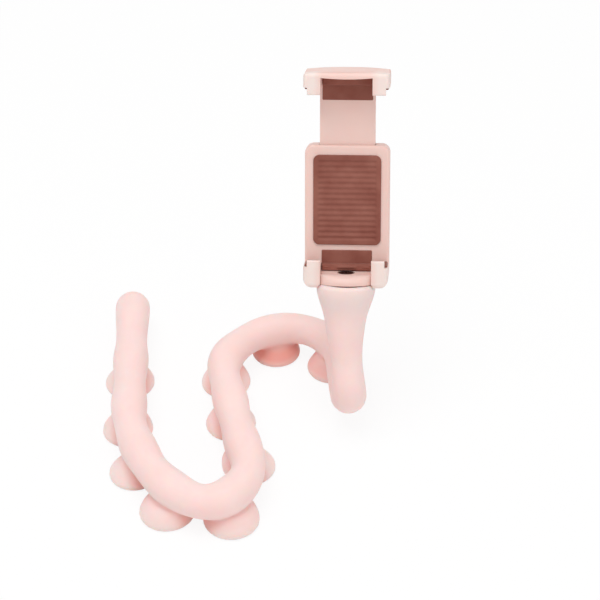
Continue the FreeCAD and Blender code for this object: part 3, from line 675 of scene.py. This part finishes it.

# %% [markdown]
# ## Silicone
# The body is pale pink silicone with a dry, powdery touch. Light goes a little way into it and comes out
# warmer, so the folds at the cups and the cups under the tube turn salmon instead of grey. The shader's own
# subsurface does part of that, and the rest is painted shade: the two values on the points mix a salmon into the
# colour where it shows most.

# %% Silicone material
SILICONE_LIT = (0.955, 0.730, 0.702)
SILICONE_WARM = (0.945, 0.695, 0.662)
# The salmon that is painted in as shade in the creases and under the tube.
SILICONE_PAINTED_SHADE = (0.84, 0.36, 0.30)
FOLD_START, FOLD_FULL, CREASE_SHADE_SHARE = 0.10, 0.9, 0.45
SHELTER_SHADE_SHARE = 0.55

silicone, tree, shader = new_material(
    "pale_silicone", Subsurface_Weight=0.65, Subsurface_Scale=0.006, Specular_IOR_Level=0.3,
    Sheen_Weight=0.1, Sheen_Roughness=0.5,
)
shader.inputs["Subsurface Radius"].default_value = (1.0, 0.35, 0.25)
mottling = place(tree, MOTTLING, Scale=55.0).outputs["Mask"]
plain = tinted(tree, mottling, SILICONE_LIT, SILICONE_WARM)
# Painted shade: the salmon is mixed in by the crease depth and by the shelter under the tube.
fold = add(tree, "ShaderNodeAttribute", attribute_name="crease_shade")
under = add(tree, "ShaderNodeAttribute", attribute_name="shelter_shade")
fold_range = {"From Min": FOLD_START, "From Max": FOLD_FULL, "To Max": CREASE_SHADE_SHARE}
crease_shade_part = add(tree, "ShaderNodeMapRange", {"Value": fold.outputs["Fac"], **fold_range})
shelter_shade_part = add(tree, "ShaderNodeMath", {0: under.outputs["Fac"], 1: SHELTER_SHADE_SHARE}, operation="MULTIPLY")
painted_shade_mask = add(tree, "ShaderNodeMath", {0: crease_shade_part.outputs["Result"], 1: shelter_shade_part.outputs[0]}, operation="MAXIMUM")
tree.links.new(tinted(tree, painted_shade_mask.outputs[0], plain, SILICONE_PAINTED_SHADE), shader.inputs["Base Color"])
varied(tree, shader, mottling, low=0.52, high=0.62)
grained(tree, shader, scale=2600.0, strength=0.35, depth_mm=0.06)
worm_skin.data.materials.clear()
worm_skin.data.materials.append(silicone)
print("silicone on", worm_skin.name)

# %% [markdown]
# ## Clamp mouldings
# The two jaws and the rear cover are hard plastic in the same pink, with a satin moulded grain. The prongs at
# both sides are a little paler and greyer than the middle; the darker middle is painted shade.
# A small node group tells the two apart: it measures how far a point lies across the clamp and towards the front.

# %% Clamp plastic
PLASTIC_PALE = (0.860, 0.620, 0.562)
PLASTIC_WARM = (0.845, 0.595, 0.535)
# The prongs keep the unshaded tone; the darker middle tones carry painted shade.
PLASTIC_PRONG_UNSHADED = (0.870, 0.735, 0.685)
RECESS_HALF = 12.0
PRONG_START, PRONG_FULL = -0.8, 3.2
FRONT_START, FRONT_FULL = 3.0, -5.0


def on_prongs():
    """Mask of the jaws' prongs: a soft step in the size of the dot product with the direction across, times one that
    falls off towards the back."""
    group, given, out = new_group("on_prongs", {"Half Width": RECESS_HALF * MM}, {"Mask": "NodeSocketFloat"})
    where = add(group, "ShaderNodeTexCoord").outputs["Object"]
    from_rim = add(group, "ShaderNodeVectorMath", {0: where, 1: tuple(rim_centre)}, operation="SUBTRACT")
    place_m = from_rim.outputs[0]
    off = add(group, "ShaderNodeVectorMath", {0: place_m, 1: tuple(clamp_across)}, operation="DOT_PRODUCT")
    size = add(group, "ShaderNodeMath", {0: off.outputs["Value"]}, operation="ABSOLUTE")
    past = add(group, "ShaderNodeMath", {0: size.outputs[0], 1: given.outputs["Half Width"]}, operation="SUBTRACT")
    prong_range = {"From Min": PRONG_START * MM, "From Max": PRONG_FULL * MM}
    beside = add(group, "ShaderNodeMapRange", {"Value": past.outputs[0], **prong_range})
    back = add(group, "ShaderNodeVectorMath", {0: place_m, 1: tuple(clamp_back)}, operation="DOT_PRODUCT")
    front_range = {"From Min": FRONT_START * MM, "From Max": FRONT_FULL * MM}
    front = add(group, "ShaderNodeMapRange", {"Value": back.outputs["Value"], **front_range})
    masks = {0: beside.outputs["Result"], 1: front.outputs["Result"]}
    both = add(group, "ShaderNodeMath", masks, operation="MULTIPLY")
    group.links.new(both.outputs[0], out.inputs["Mask"])
    return group


PRONGS = on_prongs()
clamp_plastic, tree, shader = new_material(
    "satin_clamp_plastic", Subsurface_Weight=0.15, Subsurface_Scale=0.002, Specular_IOR_Level=0.4,
)
shader.inputs["Subsurface Radius"].default_value = (1.0, 0.4, 0.3)
mottling = place(tree, MOTTLING, Scale=70.0).outputs["Mask"]
middle = tinted(tree, mottling, PLASTIC_PALE, PLASTIC_WARM)
prongs = place(tree, PRONGS)
# Painted shade: the middle between the prongs is darker than the prongs.
tree.links.new(tinted(tree, prongs.outputs["Mask"], middle, PLASTIC_PRONG_UNSHADED), shader.inputs["Base Color"])
varied(tree, shader, mottling, low=0.38, high=0.48)
grained(tree, shader, scale=4200.0, strength=0.25, depth_mm=0.04)
print("material", clamp_plastic.name)

# %% [markdown]
# ## Moulded edges
# The mouldings' shapes are already right in the frame. A moulding has no knife edge, though, so each is shown by
# a copy with its triangles merged, its flat faces joined, and every sharp edge given a small bevel.

# %% Bevelled mouldings
EDGE_BEVEL = 0.22 * MM
SAME_CORNER = 2e-6
FLAT_ANGLE, SHARP_ANGLE = math.radians(0.05), math.radians(40)


def moulding(node, name, body, material):
    """A copy of a CAD node with merged points, joined flat faces and bevelled edges, shown in its place."""
    mesh = frame["nodes"][node].data.copy()
    work = bmesh.new()
    work.from_mesh(mesh)
    bmesh.ops.remove_doubles(work, verts=work.verts, dist=SAME_CORNER)
    bmesh.ops.dissolve_limit(work, angle_limit=FLAT_ANGLE, verts=work.verts, edges=work.edges)
    work.to_mesh(mesh)
    work.free()
    piece = bpy.data.objects.new(name, mesh)
    bpy.context.scene.collection.objects.link(piece)
    mesh.materials.clear()
    mesh.materials.append(material)
    mesh.shade_smooth()
    bevel = piece.modifiers.new("moulded_edge", "BEVEL")
    bevel.width = EDGE_BEVEL
    bevel.segments = 2
    bevel.limit_method = "ANGLE"
    bevel.angle_limit = SHARP_ANGLE
    even = piece.modifiers.new("even_shading", "WEIGHTED_NORMAL")
    even.mode = "FACE_AREA_WITH_ANGLE"
    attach(piece, body)
    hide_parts(node)
    return piece


housing = moulding("lower_jaw", "clamp_housing", "clamp", clamp_plastic)
cover = moulding("rear_cover", "housing_cover", "clamp", clamp_plastic)
slider = moulding("upper_jaw", "sliding_jaw", "jaw", clamp_plastic)
print("mouldings:", [(p.name, len(p.data.polygons)) for p in (housing, cover, slider)])

# %% [markdown]
# ## Collar under the lower jaw
# Between its prongs the lower jaw swells forward to follow the round flare below, so the gap between the two
# shows as a thin smile. The moulding has that swelling as a plain wedge. A smooth skin over it takes away the
# wedge's ridges: it stands out most at the foot of its middle and falls off in one curve to the sides and the top.

# %% Swivel collar
COLLAR_HALF, COLLAR_LOW, COLLAR_HIGH = 11.95, 0.22, 4.78
COLLAR_FACE, COLLAR_BULGE = -5.5, 4.75
SIDE_FALL, TOP_FALL = 0.75, 0.6


def collar_sheets():
    """Front: the bulge times two falls, each one less a power of the place, raised to a power below one so that the
    fall is round. An underside and a flat rear at the band's face close it, sharing its border."""
    across = np.sin(np.linspace(-np.pi / 2, np.pi / 2, 81))[None, :]
    height = np.sin(np.linspace(0, np.pi / 2, 33))[:, None]
    out = COLLAR_BULGE * (1 - across ** 2) ** SIDE_FALL * (1 - height ** 3) ** TOP_FALL
    x = COLLAR_HALF * across + 0 * height
    z = COLLAR_LOW + (COLLAR_HIGH - COLLAR_LOW) * height + 0 * across
    foot = np.linspace(1, 0, 14)[:, None]
    under = on_clamp(COLLAR_HALF * across + 0 * foot, COLLAR_FACE - out[:1] * foot, COLLAR_LOW + 0 * across * foot)
    return [on_clamp(x, COLLAR_FACE - out, z), under, on_clamp(x, COLLAR_FACE + 0 * out, z)]


collar = surface("swivel_collar", collar_sheets(), rings=False)
collar.data.materials.append(clamp_plastic)
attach(collar, "clamp")
print("collar:", len(collar.data.polygons), "faces")

# %% [markdown]
# ## Grip rubber
# The pads are soft rubber in a brown rose, dull and a little powdery: a ribbed pad on the housing, small ribbed
# pads on the jaws. The same brown, the colour of the deep shade in the recesses, lines the two recesses as painted
# shade. A sheen stands for the fine powder, since no bump is so fine.

# %% Grip rubber material
# The rubber's brown is the colour of the deep shade in the recesses, so it is partly painted shade.
RUBBER_SHADE_ROSE = (0.300, 0.105, 0.075)
RUBBER_SHADE_DEEP = (0.235, 0.070, 0.049)

grip_rubber_and_shade = mottled(
    "rose_grip_rubber_and_recess_shade", spots=120.0, colours=(RUBBER_SHADE_ROSE, RUBBER_SHADE_DEEP), rough=(0.58, 0.72), grain=(5200.0, 0.4, 0.05),
    Specular_IOR_Level=0.3, Sheen_Weight=0.15, Sheen_Roughness=0.4,
)
print("material", grip_rubber_and_shade.name)

# %% [markdown]
# A pad is a thin sheet with a rounded border and a fine relief. A bevelled outline would give the border alone. Here
# the height is a function of the place: it rises from the border on a quarter circle, and the ribs are added to it.

# %% Pad sheets
PAD_EDGE, PAD_STEP, PAD_COLUMNS = 0.5, 0.22, 72
RIB_FADE = 0.7


def pad_sheets(size, corner, thickness, spot, relief):
    """Two sheets of a pad with a shared border. The width follows the round corners along the pad, the height rises
    from the border on a quarter circle, and the relief, a function of place and border distance, is added."""
    width, length = size
    end = PAD_EDGE * (1 - np.cos(np.linspace(0, np.pi / 2, 6)))[:-1]
    run = np.linspace(PAD_EDGE, length - PAD_EDGE, int(length / PAD_STEP))
    b = np.concatenate([end, run, length - end[::-1]])[:, None] - length / 2
    turn = np.clip((np.abs(b) - length / 2 + corner) / corner, 0, 1)
    half = width / 2 - corner * (1 - np.sqrt(1 - turn ** 2))
    a = half * np.sin(np.linspace(-np.pi / 2, np.pi / 2, PAD_COLUMNS))[None, :]
    border = np.minimum(half - np.abs(a), length / 2 - np.abs(b))
    rise = np.sqrt(1 - np.clip(1 - border / PAD_EDGE, 0, 1) ** 2)
    height = rise * (thickness + relief(a, b, border))
    return [spot(a, b + 0 * a, height), spot(a, b + 0 * a, 0 * height)]


def soft_step(value, low, high):
    """0 below low, 1 above high, and a smooth step between."""
    t = np.clip((value - low) / (high - low), 0, 1)
    return t * t * (3 - 2 * t)


def ribs(pitch, depth, margin):
    """Relief of round ribs: a raised cosine along the pad, kept off a plain margin at the border."""
    def relief(a, b, border):
        wave = (1 + np.cos(2 * np.pi * b / pitch)) / 2
        return -depth * soft_step(border, margin, margin + RIB_FADE) * wave

    return relief


def grip_piece(name, sheets, body, *nodes):
    """A closed piece in the grip rubber's brown, a pad or a sheet of painted shade, that rides on a body, and stands
    for CAD nodes where it is given any.
    """
    piece = surface(name, sheets, rings=False)
    piece.data.materials.append(grip_rubber_and_shade)
    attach(piece, body)
    if nodes:
        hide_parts(*nodes)
    return piece


print("pad helpers ready")

# %% [markdown]
# The large pad lies on the housing's front, and each prong has a small one on its shelf, all with ribs across. In the
# frame they are plain plates, so these sheets stand in their places.

# %% Ribbed pads
HOUSING_FACE = 5.5
BACK_PAD_MIDDLE = 38.5
BACK_PAD = {"size": (32.0, 43.0), "corner": 3.0, "thickness": 1.0, "relief": ribs(pitch=2.6, depth=0.45, margin=2.0)}
LOWER_SHELF, UPPER_SHELF = 8.5, 93.1
JAW_PAD_MIDDLE = 16.0
JAW_PAD = {"size": (7.0, 10.0), "corner": 1.0, "thickness": 1.0, "relief": ribs(pitch=1.67, depth=0.3, margin=0.6)}


def jaw_pad(middle, shelf, up_sign):
    """A small pad on a jaw's shelf, rising from it along the neck or against it."""
    return pad_sheets(**JAW_PAD, spot=lambda a, b, h: on_clamp(middle + a, b, shelf + up_sign * h))


back_sheets = pad_sheets(**BACK_PAD, spot=lambda a, b, h: on_clamp(a, HOUSING_FACE - h, BACK_PAD_MIDDLE + b))
back_grip = grip_piece("back_grip", back_sheets, "clamp", "back_pad")
low_sheets = jaw_pad(-JAW_PAD_MIDDLE, LOWER_SHELF, 1) + jaw_pad(JAW_PAD_MIDDLE, LOWER_SHELF, 1)
lower_grips = grip_piece("lower_grips", low_sheets, "clamp", "lower_jaw_pads")
high_sheets = jaw_pad(-JAW_PAD_MIDDLE, UPPER_SHELF, -1) + jaw_pad(JAW_PAD_MIDDLE, UPPER_SHELF, -1)
upper_grips = grip_piece("upper_grips", high_sheets, "jaw", "upper_jaw_pads")
print("pads:", [(p.name, len(p.data.polygons)) for p in (back_grip, lower_grips, upper_grips)])

# %% [markdown]
# A lining of painted shade, a sheet in the rubber's brown, covers the rear wall of each recess. The lower one has a
# step over the screw's rear half, with a raised bar and two ticks. The upper one goes on down the tongue's root. They
# are sheets like the pads, with another relief.

# %% Recess linings
TONGUE_FACE = 7.3
SHADE_LINING_CORNER = 0.5
SHADE_LINING_LOW, SHADE_LINING_STEP, SHADE_LINING_HIGH = 4.85, 8.35, 14.5
WALL_WIDTH, WALL_THICK = 23.9, 0.6
STEP_WIDTH, STEP_THICK, STEP_INSET = 23.8, 3.1, 0.1
BAR_HALF, BAR_LOW, BAR_HIGH, BAR_RISE = 4.7, 6.1, 7.5, 0.45
TICK_HALF, TICK_LOW, TICK_HIGH, TICK_RISE, TICK_ASIDE = 1.4, 6.4, 7.2, 0.25, 9.4
MARK_EDGE, TICK_EDGE = 0.3, 0.2
UPPER_WIDTH = 23.7
UPPER_WALL_LENGTH, UPPER_WALL_THICK, UPPER_WALL_ABOVE = 4.1, 0.5, 1.75
ROOT_LENGTH, ROOT_THICK, ROOT_BELOW = 7.4, 0.15, 3.8
step_middle = (SHADE_LINING_LOW + SHADE_LINING_STEP) / 2
wall_middle = (SHADE_LINING_LOW + SHADE_LINING_HIGH) / 2


def step_marks(a, b, border):
    """A raised bar in the middle of the lining's step, and a small tick at each side."""
    z = b + step_middle
    bar_high = soft_step(np.minimum(z - BAR_LOW, BAR_HIGH - z), 0, MARK_EDGE)
    bar = soft_step(BAR_HALF - np.abs(a), 0, MARK_EDGE) * bar_high
    tick_high = soft_step(np.minimum(z - TICK_LOW, TICK_HIGH - z), 0, TICK_EDGE)
    tick = soft_step(TICK_HALF - np.abs(np.abs(a) - TICK_ASIDE), 0, MARK_EDGE) * tick_high
    return BAR_RISE * bar + TICK_RISE * tick


def smooth_sheet(a, b, border):
    """No relief."""
    return 0 * a * b


def shade_lining_sheet(size, middle, thickness, face=HOUSING_FACE, relief=smooth_sheet):
    """A sheet of a lining on an upright face of the clamp, about its middle height."""
    return pad_sheets(size, SHADE_LINING_CORNER, thickness, lambda a, b, h: on_clamp(a, face - h, middle + b), relief)


# The linings are painted shade: brown sheets where the recesses lie in shade.
lower_sheets = shade_lining_sheet((WALL_WIDTH, SHADE_LINING_HIGH - SHADE_LINING_LOW), wall_middle, WALL_THICK)
step_size = (STEP_WIDTH, SHADE_LINING_STEP - SHADE_LINING_LOW - STEP_INSET)
lower_sheets += shade_lining_sheet(step_size, step_middle, STEP_THICK, relief=step_marks)
lower_shade_lining = grip_piece("lower_recess_shade_lining", lower_sheets, "clamp")
upper_sheets = shade_lining_sheet((UPPER_WIDTH, UPPER_WALL_LENGTH), UPPER_SHELF + UPPER_WALL_ABOVE, UPPER_WALL_THICK)
upper_sheets += shade_lining_sheet((UPPER_WIDTH, ROOT_LENGTH), UPPER_SHELF - ROOT_BELOW, ROOT_THICK, face=TONGUE_FACE)
upper_shade_lining = grip_piece("upper_recess_shade_lining", upper_sheets, "jaw")
print("linings:", [(p.name, len(p.data.polygons)) for p in (lower_shade_lining, upper_shade_lining)])

# %% [markdown]
# ## Steel
# The swivel screw and its washer are blackened steel, the spring and the cover's screws are zinc plated, and the
# wire in the body is soft aluminium. All are metals whose colour and roughness drift in fine spots, as plating does.

# %% Steel materials


def steel(name, first, second, rough):
    """A metal with fine spots and a fine grain."""
    return mottled(name, spots=900.0, colours=(first, second), rough=rough, grain=(9000.0, 0.2, 0.02), Metallic=1.0)


def dress(node, material):
    """Puts a material on a CAD node that keeps its own shape."""
    for material_slot in frame["nodes"][node].material_slots:
        material_slot.material = material


blackened = steel("blackened_steel", (0.21, 0.11, 0.095), (0.14, 0.075, 0.066), (0.32, 0.5))
zinc = steel("bright_zinc", (0.66, 0.66, 0.67), (0.52, 0.52, 0.54), (0.24, 0.4))
aluminium = steel("soft_aluminium", (0.78, 0.78, 0.79), (0.68, 0.68, 0.70), (0.35, 0.5))
dress("pivot_screw", blackened)
dress("pivot_washer", blackened)
dress("bend_core", aluminium)
print("steel on the swivel screw, its washer and the wire")

# %% [markdown]
# ## Plug
# The plug in the flare takes the swivel screw, so it is hard plastic. Its darker tone is painted shade: only
# its top shows, in the thin gap under the clamp, and the dark tone makes that gap dark. Its shape is right in the
# frame already.

# %% Plug plastic
# The plug's dark tone is painted shade for the gap under the clamp.
PLUG_SHADE_DARK = (0.50, 0.24, 0.21)
PLUG_SHADE_DARKER = (0.42, 0.19, 0.165)

plug_shade_plastic = mottled(
    "insert_plastic_painted_shade", spots=160.0, colours=(PLUG_SHADE_DARK, PLUG_SHADE_DARKER), rough=(0.45, 0.6), grain=(4200.0, 0.3, 0.04),
    Specular_IOR_Level=0.4,
)
dress("neck_plug", plug_shade_plastic)
print("material", plug_shade_plastic.name)

# %% [markdown]
# ## Spring
# An extension spring in the tongue's channel draws the jaws together. Its real form is a close coil with a loop
# at each end round a post. The wire is a ring carried along one path: loop, link, coil, link, loop.

# %% Spring wire
SPRING_DEPTH, SPRING_RADIUS, SPRING_WIRE = 10.75, 1.6, 0.27
HOOK_RADIUS = 1.45
LOWER_POST, UPPER_POST = 17.5, 87.6
COIL_LOW, COIL_HIGH = 19.8, 85.3
COIL_TURNS = 44
LOOP_FROM, LOOP_TO = -1.35 * np.pi, 0.5 * np.pi
LOOP_POINTS, TURN_POINTS, WIRE_SIDES = 34, 24, 8
WIRE_BLUR = 0.3


def spring_path():
    """Places along the wire, and how far its reference direction has turned from depth to height. The loops are
    circles about the posts, and the coil a helix that starts and ends where it runs straight across."""
    loop = np.linspace(LOOP_FROM, LOOP_TO, LOOP_POINTS)
    t = np.linspace(0, 1, COIL_TURNS * TURN_POINTS + 1)
    turn = 2 * np.pi * COIL_TURNS * t - np.pi / 2
    low = np.column_stack([HOOK_RADIUS * np.cos(loop), 0 * loop, LOWER_POST + HOOK_RADIUS * np.sin(loop)])
    coil = np.column_stack([np.cos(turn), np.sin(turn), 0 * t]) * SPRING_RADIUS
    coil[:, 2] = COIL_LOW + (COIL_HIGH - COIL_LOW) * t
    high = np.column_stack([low[::-1, 0], 0 * loop, UPPER_POST + LOWER_POST - low[::-1, 2]])
    quarter = 4 * COIL_TURNS
    tilt = np.pi / 2 * soft_step(t * quarter, 0, 1) * soft_step((1 - t) * quarter, 0, 1)
    return np.vstack([low, coil, high]), np.concatenate([0 * loop, tilt, 0 * loop])


def wire(name, path, tilt, thickness):
    """A round wire along a path: rings across its heading, with a point at each end. The first direction across is
    square to the heading and to a reference that turns from depth to height."""
    path = blurred(path, WIRE_BLUR, WIRE_BLUR)
    heading = np.gradient(path, axis=0)
    heading /= np.linalg.norm(heading, axis=1)[:, None]
    reference = np.column_stack([0 * tilt, np.cos(tilt), np.sin(tilt)])
    first = np.cross(heading, reference)
    first /= np.linalg.norm(first, axis=1)[:, None]
    thick = np.full(len(path), thickness)
    thick[[0, -1]] = 0
    rings = ring(path, thick, first, np.cross(heading, first), WIRE_SIDES)
    return surface(name, [on_clamp(rings[..., 0], SPRING_DEPTH + rings[..., 1], rings[..., 2])])


spring = wire("spring_wire", *spring_path(), SPRING_WIRE)
spring.data.materials.append(zinc)
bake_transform(spring)
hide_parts("clamp_spring")
print("spring:", len(spring.data.polygons), "faces")

# %% [markdown]
# ## Cover screws
# Four small screws hold the rear cover. Their heads are sunk flush, with a cross for the screwdriver. Each head
# is a round sheet made from a square grid, so the cross stays straight, and a flat sheet closes it below.

# %% Screw heads
SCREW_HEAD, SCREW_SUNK = 1.75, 0.95
SCREW_RIM, SCREW_DOME = 0.2, 0.1
CROSS_HALF, CROSS_REACH, CROSS_DEPTH = 0.2, 0.68, 0.55
CROSS_EDGE, CROSS_END = 0.1, 0.12
CLAMP_BACK = 14.8
SCREW_SPOTS = [(-17.5, 8.3), (17.5, 8.3), (-17.5, 58.0), (17.5, 58.0)]


def screw_sheets(x, z):
    """A disc from a square: each side's place is shortened by the root of one less half the other's square. The top
    is a shallow dome with a cross sunk into it, and falls to the lower sheet at the rim."""
    u, v = np.meshgrid(np.linspace(-1, 1, 41), np.linspace(-1, 1, 41))
    a, b = u * np.sqrt(1 - v ** 2 / 2), v * np.sqrt(1 - u ** 2 / 2)
    off = np.hypot(a, b)
    slots = soft_step(CROSS_HALF - np.minimum(np.abs(a), np.abs(b)), 0, CROSS_EDGE)
    cross = slots * soft_step(CROSS_REACH - off, 0, CROSS_END)
    rise = np.sqrt(1 - np.clip((off - (1 - SCREW_RIM)) / SCREW_RIM, 0, 1) ** 2)
    depth = SCREW_SUNK - rise * (SCREW_SUNK - SCREW_DOME * off ** 2 - CROSS_DEPTH * cross)
    top = on_clamp(x + SCREW_HEAD * a, CLAMP_BACK - depth, z + SCREW_HEAD * b)
    return [top, on_clamp(x + SCREW_HEAD * a, CLAMP_BACK - SCREW_SUNK + 0 * a, z + SCREW_HEAD * b)]


head_sheets = [sheet for spot in SCREW_SPOTS for sheet in screw_sheets(*spot)]
screw_heads = surface("cover_screw_heads", head_sheets, rings=False)
screw_heads.data.materials.append(zinc)
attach(screw_heads, "clamp")
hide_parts("cover_screws")
print("screw heads:", len(screw_heads.data.polygons), "faces")
